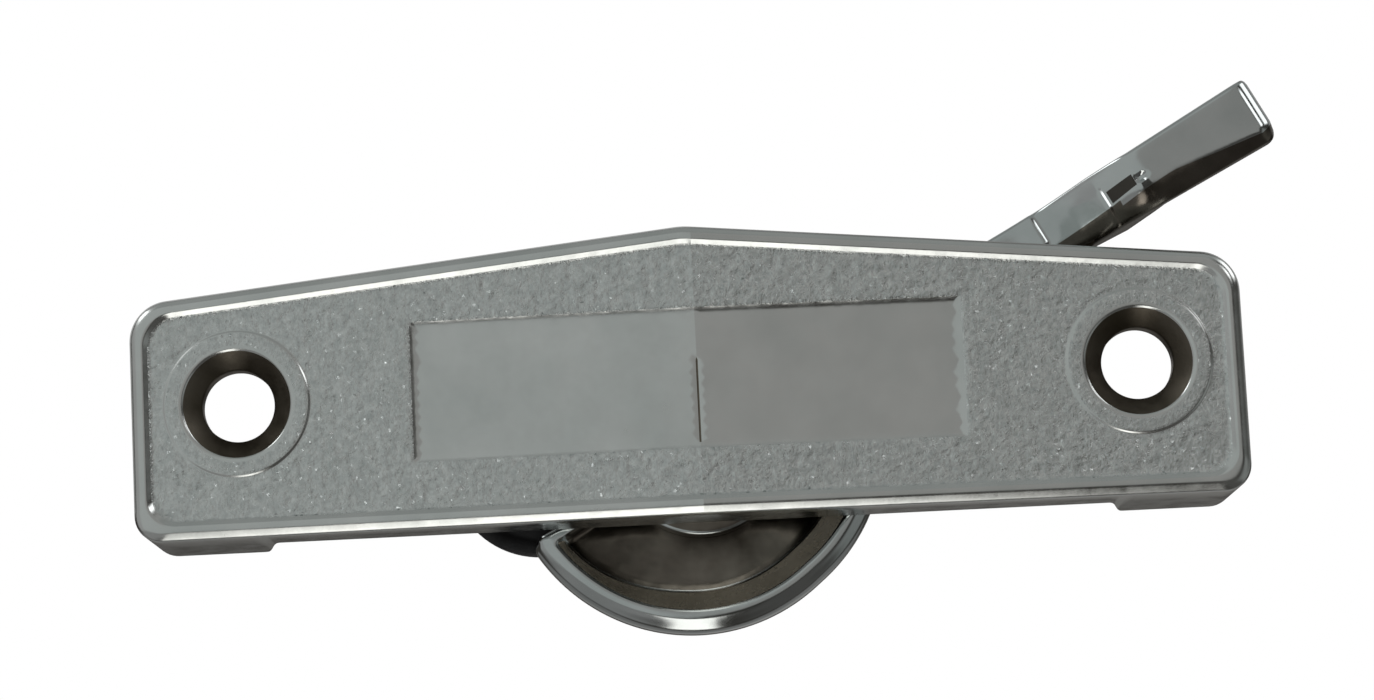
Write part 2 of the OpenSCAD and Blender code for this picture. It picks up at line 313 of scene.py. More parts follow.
def glints(tree, coord, size, share, tilt):
    """Normal with a share of small crystals turned by a random amount."""
    cells = tree.nodes.new("ShaderNodeTexVoronoi")
    cells.inputs["Scale"].default_value = 1 / size
    tree.links.new(coord, cells.inputs["Vector"])
    split = tree.nodes.new("ShaderNodeSeparateColor")
    tree.links.new(cells.outputs["Color"], split.inputs[0])
    chosen = remap(tree, split.outputs[2], 1 - share, 1 - share + 0.01, 0.0, tilt)
    centre = tree.nodes.new("ShaderNodeVectorMath")
    centre.operation = "SUBTRACT"
    centre.inputs[1].default_value = (0.5, 0.5, 0.5)
    tree.links.new(cells.outputs["Color"], centre.inputs[0])
    size_up = tree.nodes.new("ShaderNodeVectorMath")
    size_up.operation = "SCALE"
    tree.links.new(centre.outputs[0], size_up.inputs[0])
    tree.links.new(chosen, size_up.inputs["Scale"])
    geometry = tree.nodes.new("ShaderNodeNewGeometry")
    add = tree.nodes.new("ShaderNodeVectorMath")
    add.operation = "ADD"
    tree.links.new(geometry.outputs["Normal"], add.inputs[0])
    tree.links.new(size_up.outputs[0], add.inputs[1])
    unit = tree.nodes.new("ShaderNodeVectorMath")
    unit.operation = "NORMALIZE"
    tree.links.new(add.outputs[0], unit.inputs[0])
    return unit.outputs[0]


def plated_metal(name, dark, light, rough, wave=0.0, grain=0.0, sparkle=0.0, metallic=1.0):
    """Nickel-chrome plate. wave is the depth of slow ripples and grain that of fine ones, in mm."""
    mat, tree, bsdf = new_material(name)
    coord = millimetres(tree)
    bsdf.inputs["Metallic"].default_value = metallic
    tone = remap(tree, noise(tree, coord, 5.0, 4), 0.3, 0.7, 0.0, 1.0)
    if sparkle:
        tone = remap(tree, noise(tree, coord, 0.5, 5, 0.75), 0.32, 0.68, 0.0, 1.0)
    tree.links.new(mix_colour(tree, tone, dark, light), bsdf.inputs["Base Color"])
    cloud = noise(tree, coord, 1.3, 5, 0.65)
    tree.links.new(
        remap(tree, cloud, 0.3, 0.75, rough * 0.75, rough * 1.4), bsdf.inputs["Roughness"]
    )
    normal = None
    if sparkle:
        normal = glints(tree, coord, 0.16, sparkle, 0.75)
    if wave:
        normal = bump(tree, noise(tree, coord, 2.6, 2), wave, 1.0, normal)
    if grain:
        normal = bump(tree, noise(tree, coord, 0.2, 3, 0.6), grain, 1.0, normal)
    if normal is not None:
        tree.links.new(normal, bsdf.inputs["Normal"])
    return mat


def sheet_steel(name, tone, rough):
    """Zinc-plated sheet with a faint rolling direction along x and soft spangle."""
    mat, tree, bsdf = new_material(name)
    coord = millimetres(tree)
    bsdf.inputs["Metallic"].default_value = 1.0
    stretch = tree.nodes.new("ShaderNodeMapping")
    stretch.inputs["Scale"].default_value = (0.08, 1.0, 1.0)
    tree.links.new(coord, stretch.inputs["Vector"])
    lines = noise(tree, stretch.outputs[0], 0.12, 4, 0.7)
    cloud = noise(tree, coord, 3.0, 4)
    light = tuple(min(1.0, c * 1.25) for c in tone)
    tree.links.new(
        mix_colour(tree, remap(tree, cloud, 0.35, 0.65, 0.0, 1.0), tone, light),
        bsdf.inputs["Base Color"],
    )
    tree.links.new(
        remap(tree, lines, 0.3, 0.7, rough * 0.8, rough * 1.3), bsdf.inputs["Roughness"]
    )
    tree.links.new(bump(tree, lines, 0.006, 0.6), bsdf.inputs["Normal"])
    return mat


def moulded_nylon(name, tone, rough, depth):
    """Moulded plastic with a fine matt skin and slight cloudiness."""
    mat, tree, bsdf = new_material(name)
    coord = millimetres(tree)
    cloud = noise(tree, coord, 1.8, 4)
    light = tuple(min(1.0, c * 1.35 + 0.004) for c in tone)
    tree.links.new(
        mix_colour(tree, remap(tree, cloud, 0.35, 0.65, 0.0, 1.0), tone, light),
        bsdf.inputs["Base Color"],
    )
    skin = noise(tree, coord, 0.14, 3, 0.6)
    tree.links.new(
        remap(tree, skin, 0.3, 0.7, rough * 0.85, rough * 1.15), bsdf.inputs["Roughness"]
    )
    bsdf.inputs["Specular IOR Level"].default_value = 0.4
    tree.links.new(bump(tree, skin, depth, 0.7), bsdf.inputs["Normal"])
    return mat


FIELD = plated_metal("cast_field", (0.54, 0.575, 0.57), (0.78, 0.81, 0.80), 0.24,
                     grain=0.055, sparkle=0.07)
PLATE = plated_metal("cast_smooth", (0.62, 0.65, 0.64), (0.72, 0.74, 0.73), 0.2, wave=0.004,
                     grain=0.0015)
# Painted shade: dark brown for the countersinks, holes, columns, posts, the hollow and the ridge
# crease.
INSIDE_SHADE = plated_metal("cast_inside_painted_shade", (0.15, 0.13, 0.10), (0.27, 0.245, 0.205), 0.42, grain=0.01)
# Painted shade: near black for the crescent's dish floor and hub, and the lever's lower flank and hub.
DISH_SHADE = plated_metal("cast_dish_painted_shade", (0.045, 0.037, 0.028), (0.29, 0.265, 0.23), 0.2, wave=0.08,
                    grain=0.002)
# Painted reflection: a dim brownish tone on the crescent's bank between its dish floor and lip.
BANK_REFLECTION = plated_metal("cast_bank_painted_reflection", (0.35, 0.315, 0.245), (0.67, 0.615, 0.50), 0.26, wave=0.04,
                    grain=0.001, metallic=0.55)
BRIGHT = plated_metal("cast_bright", (0.50, 0.54, 0.54), (0.64, 0.67, 0.67), 0.13, wave=0.02,
                      grain=0.0008)
SHADE = plated_metal("cast_shade", (0.03, 0.027, 0.024), (0.10, 0.092, 0.082), 0.18, wave=0.06)
STRAP = sheet_steel("zinc_sheet", (0.50, 0.51, 0.52), 0.36)
STEEL = sheet_steel("zinc_steel", (0.60, 0.60, 0.59), 0.28)
SPRING = sheet_steel("spring_steel", (0.20, 0.22, 0.26), 0.30)
WHITE_NYLON = moulded_nylon("nylon_white", (0.74, 0.72, 0.66), 0.45, 0.01)
BLACK_NYLON = moulded_nylon("nylon_black", (0.006, 0.006, 0.007), 0.5, 0.015)


# ---------------------------------------------------------------- housing
def top_y(x, inset):
    """Height of the plate's sloping top edge, drawn in by inset."""
    return BOTTOM_Y + PEAK_H - np.abs(x - PLATE_MID) * math.tan(SLOPE) - inset / math.cos(SLOPE)


def arc(cx, cy, r, start, end, n):
    """Points along an arc, without its last one."""
    a = np.radians(np.linspace(start, end, n, endpoint=False))
    return np.stack([cx + r * np.cos(a), cy + r * np.sin(a)], 1)


def line(p, q, n):
    """Points along a straight line, without its last one."""
    t = np.linspace(0, 1, n, endpoint=False)[:, None]
    return np.asarray(p) * (1 - t) + np.asarray(q) * t


def house_loop(inset, upper_r, lower_r):
    """Peaked outline drawn in by inset, anticlockwise from under the ridge."""
    tilt = math.degrees(SLOPE)
    half = HALF_L - inset
    peak_r = max(PEAK_R - inset, 1.0)
    ux, lx = half - upper_r, half - lower_r
    uy, ly = top_y(PLATE_MID + ux, inset + upper_r), BOTTOM_Y + inset + lower_r
    right, left = PLATE_MID + half, PLATE_MID - half
    peak_y = top_y(PLATE_MID, inset + peak_r)
    low = (0, BOTTOM_Y + inset)
    ridge_top = (0, top_y(0, inset))

    def on_arc(cx, cy, r, a):
        a = math.radians(a)
        return (cx + r * math.cos(a), cy + r * math.sin(a))

    upper_right = (PLATE_MID + ux, uy)
    upper_left = (PLATE_MID - ux, uy)
    peak = (PLATE_MID, peak_y)
    return np.vstack([
        line(low, (PLATE_MID + lx, BOTTOM_Y + inset), 170),
        arc(PLATE_MID + lx, ly, lower_r, -90, 0, 12),
        line((right, ly), (right, uy), 55),
        arc(*upper_right, upper_r, 0, 90 - tilt, 16),
        line(on_arc(*upper_right, upper_r, 90 - tilt), ridge_top, 165),
        line(ridge_top, on_arc(*peak, peak_r, 90 - tilt), 3),
        arc(*peak, peak_r, 90 - tilt, 90 + tilt, 5),
        line(on_arc(*peak, peak_r, 90 + tilt), on_arc(*upper_left, upper_r, 90 + tilt), 165),
        arc(*upper_left, upper_r, 90 + tilt, 180, 16),
        line((left, uy), (left, ly), 55),
        arc(PLATE_MID - lx, ly, lower_r, 180, 270, 12),
        line((PLATE_MID - lx, BOTTOM_Y + inset), low, 170),
    ])


def circle(cx, cy, r, n=96):
    return arc(cx, cy, r, 0, 360, n)


def chord(r, n=96):
    """Radius that lies just inside every side of an n-sided circle."""
    return r * math.cos(math.pi / n) - 0.001


def edge_distance(x, y):
    """Distance inside the plate's outline, ignoring its rounded corners."""
    side = HALF_L - np.abs(x - PLATE_MID)
    top = (top_y(x, 0) - y) * math.cos(SLOPE)
    return np.minimum(np.minimum(side, top), y - BOTTOM_Y)


def panel_distance(x, y):
    """Distance outside the label panel."""
    dx = np.abs(x - PLATE_MID) - PANEL_L / 2
    dy = np.abs(y - (PANEL_Y + PANEL_H / 2)) - PANEL_H / 2
    return np.maximum(dx, dy)


def hole_distance(x, y):
    """Distance from the nearer screw hole's axis."""
    return np.hypot(np.abs(x - PLATE_MID) - HOLE_SPAN / 2, y - HOLE_Y)


def field_height(x, y):
    """Field with its cast texture, which dies out at the field's borders."""
    room = np.minimum(hole_distance(x, y) - BOSS_R - 0.07, panel_distance(x, y) - 0.06)
    return roof(x) - FIELD_DROP + cast_texture(x, y) * smooth(room / 0.3)


def panel_loop(grow):
    """Outline of the label panel with points on the ridge line."""
    x0, x1 = PLATE_MID - PANEL_L / 2 - grow, PLATE_MID + PANEL_L / 2 + grow
    y0, y1 = PANEL_Y - grow, PANEL_Y + PANEL_H + grow
    return np.vstack([
        line((0, y0), (x1, y0), 70), line((x1, y0), (x1, y1), 36),
        line((x1, y1), (0, y1), 70), line((0, y1), (x0, y1), 70),
        line((x0, y1), (x0, y0), 36), line((x0, y0), (0, y0), 70),
    ])


def grid_points(step, inside, jitter, seed):
    """Slightly scattered grid over the plate, where inside() says so."""
    xs = np.arange(PLATE_MID - HALF_L, PLATE_MID + HALF_L, step)
    ys = np.arange(BOTTOM_Y, BOTTOM_Y + PEAK_H, step * 0.87)
    gx, gy = np.meshgrid(xs, ys)
    gx[1::2] += step / 2
    rng = np.random.default_rng(seed)
    gx += rng.uniform(-jitter, jitter, gx.shape) * step
    gy += rng.uniform(-jitter, jitter, gy.shape) * step
    ok = inside(gx, gy) & (np.abs(gx) > step * 0.6)
    return np.stack([gx[ok], gy[ok]], 1)


# Rim: the round of its outer edge, then the slope down to the field with a round at each end
RIM_ROUND = 0.72
SLOPE_TILT = 45
SLOPE_FROM = 0.78
CROWN_ROUND = 0.28
FOOT_ROUND = 0.36
FOOT_AT = SLOPE_FROM + 0.64


def rim_profile():
    """Relief of the rim from the plate's edge inwards: distance from the edge, drop below the face."""
    rows = []
    for a in (90, 78, 68, 58, 48, 38, 28, 18, 8, 0):
        tilt = math.radians(a)
        rows.append((RIM_ROUND * (1 - math.sin(tilt)), RIM_ROUND * (1 - math.cos(tilt))))
    for a in (0, 15, 30, SLOPE_TILT):
        tilt = math.radians(a)
        drop = CROWN_ROUND * (1 - math.cos(tilt))
        rows.append((SLOPE_FROM + CROWN_ROUND * math.sin(tilt), drop))
    for a in (SLOPE_TILT, 30, 15, 0):
        tilt = math.radians(a)
        drop = FIELD_DROP - FOOT_ROUND * (1 - math.cos(tilt))
        rows.append((FOOT_AT - FOOT_ROUND * math.sin(tilt), drop))
    return rows + [(FIELD_INSET, FIELD_DROP)]


RIM_PROFILE = rim_profile()
# Inset where the smooth rim ends and the cast texture begins
TEXTURE_FROM = 1.05
# Back of the wall from the outer edge to the hollow: inset, height above the wall's rear edge
WALL_BACK = [(0.0, 0.2), (0.06, 0.06), (0.2, 0.0), (1.3, 0.0), (1.44, 0.06), (WALL_T, 0.2)]
# Screw boss from the field inwards: radius, drop below the face
BOSS_PROFILE = [
    (BOSS_R + 0.07, FIELD_DROP), (BOSS_R + 0.01, 0.31), (BOSS_R - 0.05, 0.265),
    (BOSS_R - 0.13, 0.235), (BOSS_R - 0.35, 0.225), (3.72, 0.225), (3.55, 0.24), (3.46, 0.28),
    (3.4, 0.36),
]
# Steps of that profile that make the ring's flat, which is lightly cast like the field
RING_FLAT = (3, 4)
# Countersink and hole, and the hollow column behind them
SINK_DEPTH = 1.45
WEB_T = 3.0
COLUMN_R = 4.8
RELIEF_R = 3.7
HOLE_R = 2.3


def rim_corner(inset, outer_r):
    """Corner radius at an inset: the rim's inner corners are rounder than concentric ones."""
    return outer_r - inset * (outer_r - 1.75) / FIELD_INSET if outer_r > 1.75 else outer_r


def add_screw_hole(shell, side):
    """Boss, countersink, hole and column on one side. Returns its first and last loops."""
    cx, cy = PLATE_MID + side * HOLE_SPAN / 2, HOLE_Y
    face = float(roof(cx))
    rows, slots = [], []
    for r, drop in BOSS_PROFILE:
        xy = circle(cx, cy, r)
        rows.append(shell.loop(xy, roof(xy[:, 0]) - drop))
        slots.append(0)
    plain = [
        (HOLE_R + 0.06, face - SINK_DEPTH + 0.05, 1), (HOLE_R, face - SINK_DEPTH - 0.05, 1),
        (HOLE_R, face - WEB_T + 0.1, 1), (HOLE_R + 0.1, face - WEB_T, 1),
        (RELIEF_R - 0.15, face - WEB_T, 1), (RELIEF_R, face - WEB_T - 0.15, 1),
        (RELIEF_R, 0.1, 1), (RELIEF_R + 0.1, 0.0, 1), (COLUMN_R - 0.1, 0.0, 1),
        (COLUMN_R, 0.1, 1),
    ]
    for r, z, slot in plain:
        rows.append(shell.loop(circle(cx, cy, r), z))
        slots.append(slot)
    xy = circle(cx, cy, COLUMN_R)
    rows.append(shell.loop(xy, roof(xy[:, 0]) - FACE_T))
    slots.append(1)
    # From the countersink inwards the faces take slot 2, the painted shade.
    for i in range(len(rows) - 1):
        outer = 0 if i in RING_FLAT else 1
        shell.bridge(rows[i], rows[i + 1], outer if slots[i + 1] == 0 else 2)
    return rows[0], rows[-1]


# Posts that hold the back plate's rivets, and the boss that holds the pivot stud
POST_X, POST_Y = 19.5, 0.4
POST_R = 2.5
POST_LOW = 1.25
PIVOT_BOSS_R = 3.3
# How far below the face the posts end inside it
POST_TOP_DROP = 1.0


def add_post(shell, cx, cy, r, low, high, n=48):
    """Closed round post from a low end up into the face."""
    rows = [
        shell.loop(circle(cx, cy, r - 0.12, n), low), shell.loop(circle(cx, cy, r, n), low + 0.12),
        shell.loop(circle(cx, cy, r, n), high),
    ]
    # The posts take slot 2, the painted shade.
    shell.cap(rows[0], 2)
    shell.bridge(rows[0], rows[1], 2)
    shell.bridge(rows[1], rows[2], 2)
    shell.cap(rows[2], 2)


# Fine crease along the ridge in the lower part of the label panel; its faces take the dark inside
# material, a painted shade line
CREASE_W = 0.13
CREASE_DEPTH = 0.03
CREASE_LOW = PANEL_Y + 0.3
CREASE_HIGH = PANEL_Y + 5.6


def add_rim(shell):
    """Rim from the plate's edge to the field. Returns its first and last loops."""
    rows = []
    for inset, drop in RIM_PROFILE:
        xy = house_loop(inset, rim_corner(inset, UPPER_R), rim_corner(inset, LOWER_R))
        room = smooth((inset - TEXTURE_FROM) / 0.45)
        rows.append(shell.loop(xy, roof(xy[:, 0]) - drop + cast_texture(*xy.T) * room))
    for i in range(len(rows) - 1):
        shell.bridge(rows[i], rows[i + 1], 1 if RIM_PROFILE[i][0] < TEXTURE_FROM else 0)
    return rows[0], rows[-1]


def add_wall(shell, edge):
    """Skirt wall from the plate's edge round into the hollow. Returns its last loop."""
    rows = []
    for inset, up in WALL_BACK:
        xy = house_loop(inset, max(UPPER_R - inset, 1.0), max(LOWER_R - inset, 0.8))
        rows.append(shell.loop(xy, back_edge(xy[:, 0]) + up))
    xy = house_loop(WALL_T, 1.1, 0.9)
    rows.append(shell.loop(xy, roof(xy[:, 0]) - FACE_T - 0.25))
    xy = house_loop(WALL_T + 0.25, 1.0, 0.8)
    rows.append(shell.loop(xy, roof(xy[:, 0]) - FACE_T))
    shell.bridge(edge, rows[0], 1)
    # From the inner round of the rear edge on, the faces into the hollow take slot 2, the painted
    # shade.
    for i in range(len(rows) - 1):
        shell.bridge(rows[i], rows[i + 1], 1 if i < 3 else 2)
    return rows[-1]


def ridge_line(y0, y1, step):
    """Points on the ridge between two heights, without the two ends."""
    ys = np.linspace(y0, y1, int((y1 - y0) / step) + 1)[1:-1]
    return [(0.0, y) for y in ys]


def in_field(x, y):
    """Where the field's loose points may lie: clear of the rim, the bosses and the panel."""
    gap = GRAIN_STEP * 0.6
    side = edge_distance(x, y)
    clear = (side > FIELD_INSET + gap) & (panel_distance(x, y) > 0.06 + gap)
    clear &= hole_distance(x, y) > BOSS_R + 0.07 + gap
    corner = np.abs(x - PLATE_MID) < HALF_L - FIELD_INSET - 1.4
    return clear & ((side > FIELD_INSET + 0.8) | corner)


def add_field(shell, rim, bosses, panel):
    """Textured field between the rim, the bosses and the panel."""
    low = BOTTOM_Y + FIELD_INSET
    high = float(top_y(0, FIELD_INSET))
    shell.fill(
        [rim, bosses[0][0], bosses[1][0], panel], grid_points(GRAIN_STEP, in_field, 0.22, 7),
        [ridge_line(low, PANEL_Y - 0.06, GRAIN_STEP),
         ridge_line(PANEL_Y + PANEL_H + 0.06, high, GRAIN_STEP)],
        lambda x, y: (hole_distance(x, y) > chord(BOSS_R + 0.07)) & (panel_distance(x, y) > 0.055),
        field_height, 0,
    )


def in_crease(x, y):
    return (np.abs(x) < CREASE_W / 2) & (y > CREASE_LOW) & (y < CREASE_HIGH)


def panel_height(x, y):
    """Label panel, very slightly wavy away from its border, with the crease."""
    drift = gradient_noise(x / 3.7, y / 3.7, 5) * 0.008
    drift += gradient_noise(x / 1.4, y / 1.4, 6) * 0.002
    room = smooth(-panel_distance(x, y) / 1.0)
    crease = CREASE_DEPTH * ((np.abs(x) < 0.01) & (y > CREASE_LOW) & (y < CREASE_HIGH))
    return roof(x) - FIELD_DROP - PANEL_DROP + drift * room - crease


def add_panel(shell, edge):
    """Smooth label panel inside its border."""
    ys = np.arange(CREASE_LOW, CREASE_HIGH, 0.2)
    crease_sides = [[(side * CREASE_W / 2, y) for y in ys] for side in (-1, 1)]
    # Faces in the crease take slot 2, the painted shade.
    shell.fill(
        [edge], grid_points(0.45, lambda x, y: panel_distance(x, y) < -0.3, 0.1, 8),
        [ridge_line(PANEL_Y + 0.08, PANEL_Y + PANEL_H - 0.08, 0.2)] + crease_sides,
        lambda x, y: panel_distance(x, y) < -0.08, panel_height, 1, in_crease, 2,
    )


def add_hollow(shell, edge, bosses):
    """Rear of the face, inside the hollow."""
    # The whole rear of the face takes slot 2, the painted shade.
    shell.fill(
        [edge, bosses[0][1], bosses[1][1]], [],
        [ridge_line(BOTTOM_Y + WALL_T + 0.3, float(top_y(0, WALL_T + 0.3)), 1.0)],
        lambda x, y: hole_distance(x, y) > chord(COLUMN_R),
        lambda x, y: roof(x) - FACE_T, 2,
    )


def make_housing():
    shell = Shell()
    edge, rim = add_rim(shell)
    hollow = add_wall(shell, edge)
    bosses = [add_screw_hole(shell, side) for side in (-1, 1)]
    outer = panel_loop(0.06)
    inner = panel_loop(-0.08)
    border = [
        shell.loop(outer, roof(outer[:, 0]) - FIELD_DROP),
        shell.loop(inner, roof(inner[:, 0]) - FIELD_DROP - PANEL_DROP),
    ]
    shell.bridge(*border, 1)
    add_field(shell, rim, bosses, border[0])
    add_panel(shell, border[1])
    add_hollow(shell, hollow, bosses)
    for side in (-1, 1):
        add_post(shell, side * POST_X, POST_Y, POST_R, POST_LOW, roof(POST_X) - POST_TOP_DROP)
    add_post(shell, 0, 0, PIVOT_BOSS_R, SKIRT_Z, roof(0) - POST_TOP_DROP)
    return shell.build("housing_cast", [FIELD, PLATE, INSIDE_SHADE], 60, ridge=True)


housing = make_housing()
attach(housing, "housing_body")
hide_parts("housing")


# ---------------------------------------------------------------- crescent
TIP_R = 12.55
LOW_R = 11.5
LOW_A = -50.0
TIP_A = -154.0
TAIL_A = 4.0
CAM_Z = cam_lo[2]
LIP_Z = cam_hi[2]
HUB_R = 5.6
BUSH_R = 2.8
DRIVE_R = 4.4
LEVER_T = 1.8
FLOOR_Z = CAM_Z + 1.0
LIP_W = 1.4
END_WALL = 0.9
NOSE_R = 0.9
# Steps in degrees from the leading tip, close together where its round and end wall lie
NEAR_TIP = [0, 0.05, 0.15, 0.3, 0.5, 0.75, 1.05, 1.4, 1.9, 2.4, 2.9, 3.4, 3.6, 3.9, 4.2, 4.5,
            4.8, 5.1, 5.5]


def rim_radius(a):
    """Outer radius of the crescent at an angle."""
    return LOW_R + (TIP_R - LOW_R) * (np.abs(a - LOW_A) / abs(TIP_A - LOW_A)) ** 1.2


def round_over(depth, radius):
    """How far a round of this radius falls back, at a depth before its end."""
    e = min(max(radius - depth, 0.0), radius)
    return radius - math.sqrt(radius * radius - e * e)


# Rows of the section that lie in the dish, and those up to the lip's outer round
DISH_ROWS = 10
LIP_ROWS = 14


def crescent_section(a):
    """Radius, height and finish of the crescent's section, from the hub over the lip to the back. The
    dish floor and the wall by the hub are painted shade, the bank a painted brownish reflection.
    """
    from_end = math.radians(a - TIP_A) * TIP_R
    rim = float(rim_radius(a)) - round_over(from_end, NOSE_R)
    inner = float(rim_radius(a)) - LIP_W
    floor_r = inner - 0.6 - 0.75 * float(smooth((a + 150) / 55))
    fill = 1 - float(smooth((from_end - END_WALL) / 0.35))
    top = LIP_Z - round_over(from_end, 0.5)
    # Slots: plain chrome, painted shade, painted brownish reflection.
    bright, dark, bank = 0, 1, 2
    rows = [
        (HUB_R - 0.3, FLOOR_Z - 0.06, dark), (HUB_R + 0.5, FLOOR_Z - 0.02, dark),
        (HUB_R + 1.4, FLOOR_Z + 0.03, dark), (floor_r - 0.6, FLOOR_Z + 0.12, dark),
        (floor_r - 0.12, FLOOR_Z + 0.24, bright), (floor_r + 0.06, FLOOR_Z + 0.36, bank),
        (inner - 0.22, LIP_Z - 0.32, bank), (inner - 0.1, LIP_Z - 0.16, bright),
        (inner + 0.03, LIP_Z - 0.03, bright), (inner + 0.16, LIP_Z, bright),
        (inner + 0.34, LIP_Z - 0.01, bright), (inner + 0.5, LIP_Z - 0.05, bright),
        (inner + 0.66, LIP_Z - 0.12, bright), (inner + 0.86, LIP_Z - 0.28, bright),
        (rim - 0.34, LIP_Z - 0.5, bright), (rim - 0.2, LIP_Z - 0.75, bright),
        (rim - 0.08, LIP_Z - 1.05, bright), (rim, LIP_Z - 1.45, bright),
        (rim, CAM_Z + 0.35, bright), (rim - 0.08, CAM_Z + 0.12, bright),
        (rim - 0.3, CAM_Z, bright), (HUB_R - 0.3, CAM_Z, dark),
    ]
    out = []
    for i, (r, z, finish) in enumerate(rows):
        if i < DISH_ROWS:
            z = z + (LIP_Z - z) * fill
        if z > LIP_Z - 1.2:
            z = z - (LIP_Z - top)
        if i < LIP_ROWS:
            r = min(r, rim - 0.34)
        out.append((r, z, bright if fill > 0.5 else finish))
    return out


def make_crescent():
    shell = Shell()
    angles = [TIP_A + d for d in NEAR_TIP] + list(np.linspace(TIP_A + 6.5, TAIL_A, 140))
    rows, finishes_and_shade = [], []
    for a in angles:
        section = np.array(crescent_section(a))
        xy = np.stack([section[:, 0] * math.cos(math.radians(a)),
                       section[:, 0] * math.sin(math.radians(a))], 1)
        rows.append(shell.loop(xy, section[:, 1]))
        finishes_and_shade.append([int(f) for f in section[:, 2]])
    for a, b, finish in zip(rows, rows[1:], finishes_and_shade):
        shell.skin(a, b, finish)
    shell.cap(rows[0])
    shell.cap(rows[-1])
    drive_top = FLOOR_Z + LEVER_T
    # Slot 1 paints shade on the hub's underside and its chamfer, on its top ring and on the drive's
    # side.
    hub = [
        (BUSH_R, CAM_Z, 1), (HUB_R - 0.15, CAM_Z, 1), (HUB_R, CAM_Z + 0.15, 0),
        (HUB_R, FLOOR_Z - 0.08, 0), (HUB_R - 0.08, FLOOR_Z, 1), (DRIVE_R, FLOOR_Z, 1),
        (DRIVE_R, drive_top - 0.1, 0), (DRIVE_R - 0.1, drive_top, 0),
        (BUSH_R + 0.1, drive_top, 0), (BUSH_R, drive_top - 0.1, 0),
    ]
    shell.turn(0, 0, hub, 72)
    return shell.build("crescent_cast", [BRIGHT, DISH_SHADE, BANK_REFLECTION], 40)


crescent = make_crescent()
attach(crescent, "rotor")
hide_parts("crescent_cam")


# ---------------------------------------------------------------- lever
LEVER_A = 28.3
LEVER_R = 42.2
LEVER_LOW = lever_lo[2]
PADDLE_Z = lever_hi[2]
# Distances from the pivot: the fold across the arm, the foot of the ramp, the paddle
FOLD_R = 26.0
RAMP_R = 26.5
PADDLE_R = 32.8
ARM_TOP = 4.85
RAMP_FOOT = 4.87
TIP_ROUND_R = 1.25
HUB_HOLE_R = 4.43
# Slope in degrees at which the lower flank starts
FLANK_START = 36
# Where the lower flank lies among the section's sides, and how many sides it has; those sides are
# painted shade
FLANK_AT = 17
FLANK_SIDES = 8
# Thumb dent: distance from the pivot, offset across the lever, depth
DENT_R, DENT_T = 32.95, 0.05
DENT_DEPTH = 0.24
# Dark facet that the foot of the paddle shows beside the dent, painted as a patch of shade: distances
# from the pivot, sides
FACET_FROM, FACET_TO = 30.6, 32.45
FACET_AT = 10
FACET_SIDES = 6
# Crest of the facet: distance from the pivot
CREST_R = 30.35


def crest(r, at, height, rise, fall):
    """Small ridge that rises slowly and falls quickly towards the tip."""
    return height * np.interp(r, [at - rise, at, at + fall], [0, 1, 0])


def eased(u, w=0.14):
    """A ramp from 0 to 1 with a round of half-width w at each of its two corners."""
    if u < w:
        return max(u + w, 0.0) ** 2 / (4 * w)
    return u if u < 1 - w else 1 - max(1 + w - u, 0.0) ** 2 / (4 * w)


def lever_top(r, t):
    """Height of the lever's upper face: a flat arm, a ramp with a thumb dent, and the paddle."""
    rise = float(smooth((r - RAMP_R) / (PADDLE_R - RAMP_R)))
    straight = eased((r - RAMP_R) / (PADDLE_R - RAMP_R))
    arm = np.interp(r, [0, FOLD_R, RAMP_R], [ARM_TOP, ARM_TOP, RAMP_FOOT])
    top = arm + (PADDLE_Z - arm) * (0.65 * straight + 0.35 * rise)
    far = math.hypot((r - DENT_R) / 0.6, (t - DENT_T) / 0.4)
    top -= DENT_DEPTH * float(smooth((1.0 - far) / 0.8))
    top += crest(r, FOLD_R, 0.2, 1.4, 0.28) * smooth((t + 0.5) / 0.4)
    top += crest(r, CREST_R, 0.21, 2.0, 0.19) * smooth((t + 1.0) / 0.3) * smooth((1.2 - t) / 0.4)
    return top - round_over(LEVER_R - r, TIP_ROUND_R)


def lever_section(r):
    """Section of the lever at a distance from the pivot, as offsets across and heights."""
    low = np.interp(r, [0, 26.0, 31.3, 33.6, 50],
                    [LEVER_LOW + 0.05, LEVER_LOW + 0.05, 3.4, PADDLE_Z - 1.8, PADDLE_Z - 1.8])
    upper = np.interp(r, [0, 26, 30, 33, 42], [2.0, 2.02, 2.0, 1.88, 2.16])
    upper -= round_over(LEVER_R - r, 0.4)
    lower = -np.interp(r, [0, 29, 33, 42], [1.85, 1.85, 2.1, 2.25])
    lower += round_over(LEVER_R - r, 0.9)
    edge = np.interp(r, [0, 30.5, 33, 35, 38, 41.2, 42.2],
                     [-0.55, -0.55, -0.3, -0.15, -0.75, -1.3, -1.0])
    drop = np.interp(r, [0, 30, 33, 42], [1.0, 1.0, 1.15, 0.95])
    points = [(upper - 0.25, low), (upper, low + 0.25)]
    for a in (0, 22, 45, 68, 90):
        t = upper - 0.3 + 0.3 * math.cos(math.radians(a))
        points.append((t, lever_top(r, t) - 0.3 + 0.3 * math.sin(math.radians(a))))
    for k in (0.2, 0.35, 0.45, 0.55, 0.63, 0.7, 0.76, 0.82, 0.88, 0.94):
        t = (upper - 0.3) * (1 - k) + edge * k
        points.append((t, lever_top(r, t)))
    start = math.radians(FLANK_START)
    foot = lever_top(r, edge)
    for a in np.radians(np.linspace(FLANK_START, 90, 8)):
        out = (math.sin(a) - math.sin(start)) / (1 - math.sin(start))
        down = (math.cos(start) - math.cos(a)) / math.cos(start)
        points.append((edge + (lower - edge) * out, foot - drop * down))
    points += [(lower, low + 0.3), (lower + 0.1, low + 0.1), (lower + 0.3, low), (0.0, low)]
    return points


